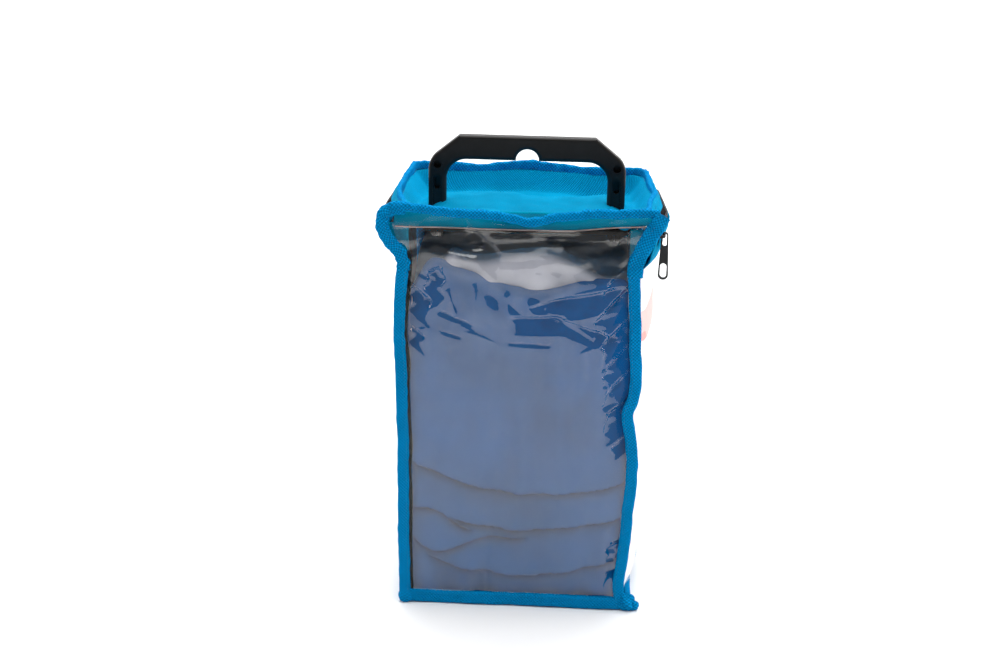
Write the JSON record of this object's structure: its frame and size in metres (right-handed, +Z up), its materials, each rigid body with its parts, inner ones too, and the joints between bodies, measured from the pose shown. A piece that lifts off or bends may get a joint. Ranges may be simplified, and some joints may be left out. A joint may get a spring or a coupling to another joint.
{
  "type": "zippered cleaning-cloth caddy",
  "caption": "Clear-fronted soft caddy bag holding folded cleaning cloths, with a zip-round hinged lid, a snap-in plastic carrying handle and a hanging zip pull.",
  "frame": {"origin": "centre of the bag's resting face, on the floor plane", "axes": "+Z up, the clear front window faces -Y, +X to the right seen from the front"},
  "size_m": [0.2266, 0.1704, 0.369],
  "materials": {
    "clear_vinyl": "clear, glossy, flexible film",
    "blue_nonwoven": "bright blue nonwoven with a fine diamond emboss",
    "blue_binding": "folded bright blue nonwoven tape",
    "stiffener_board": "plain board",
    "printed_card": "white card with pale pink ruled lines and one red band",
    "zip_tape": "woven black tape",
    "zip_coil": "black nylon coil",
    "black_plastic": "black moulded plastic, satin",
    "black_enamel": "black enamel",
    "blue_cloth": "royal blue woven cloth",
    "white_cloth": "soft white cloth"
  },
  "bodies": {
    "bag": {"front_window": "clear_vinyl", "left_window": "clear_vinyl", "right_window": "clear_vinyl", "back_panel": "blue_nonwoven", "bottom_panel": "blue_nonwoven", "bottom_board": "stiffener_board", "left_insert_card": "printed_card", "right_insert_card": "printed_card", "front_left_binding": "blue_binding", "front_right_binding": "blue_binding", "back_left_binding": "blue_binding", "back_right_binding": "blue_binding", "left_bottom_binding": "blue_binding", "right_bottom_binding": "blue_binding", "front_bottom_binding": "blue_binding", "back_bottom_binding": "blue_binding", "front_top_roll": "blue_binding", "left_upper_band": "blue_nonwoven", "right_upper_band": "blue_nonwoven", "back_upper_band": "blue_nonwoven", "left_zip_end_tab": "blue_nonwoven", "right_zip_end_tab": "blue_nonwoven", "lower_zip_tape": "zip_tape", "lower_zip_coil": "zip_coil", "folded_cloth": "blue_cloth", "lining_cloth": "white_cloth"},
    "lid": {"top_panel": "blue_nonwoven", "lid_left_binding": "blue_binding", "lid_right_binding": "blue_binding", "lid_back_binding": "blue_binding", "upper_zip_tape": "zip_tape", "upper_zip_coil": "zip_coil"},
    "handle": {"handle": "black_plastic", "handle_base_plate": "black_plastic"},
    "slider": {"slider_body": "black_enamel", "slider_bail": "black_enamel"},
    "pull": {"pull_tab": "black_enamel"}
  },
  "joints": [
    {"name": "lid_hinge", "type": "hinge", "parent": "bag", "child": "lid", "pos_m": [0, -0.069, 0.321], "axis": [1, 0, 0], "range_deg": [0, 115]},
    {"name": "handle_slide", "type": "slide", "parent": "lid", "child": "handle", "axis": [0, 0, 1], "range_m": [0, 0.006]},
    {"name": "zip_slide", "type": "slide", "parent": "bag", "child": "slider", "axis": [0.1742, 0.9847, 0], "range_m": [0, 0.048]},
    {"name": "pull_hinge", "type": "hinge", "parent": "slider", "child": "pull", "pos_m": [0.10645, -0.05401, 0.308], "axis": [-0.1742, -0.9847, 0], "range_deg": [0, 150]}
  ]
}
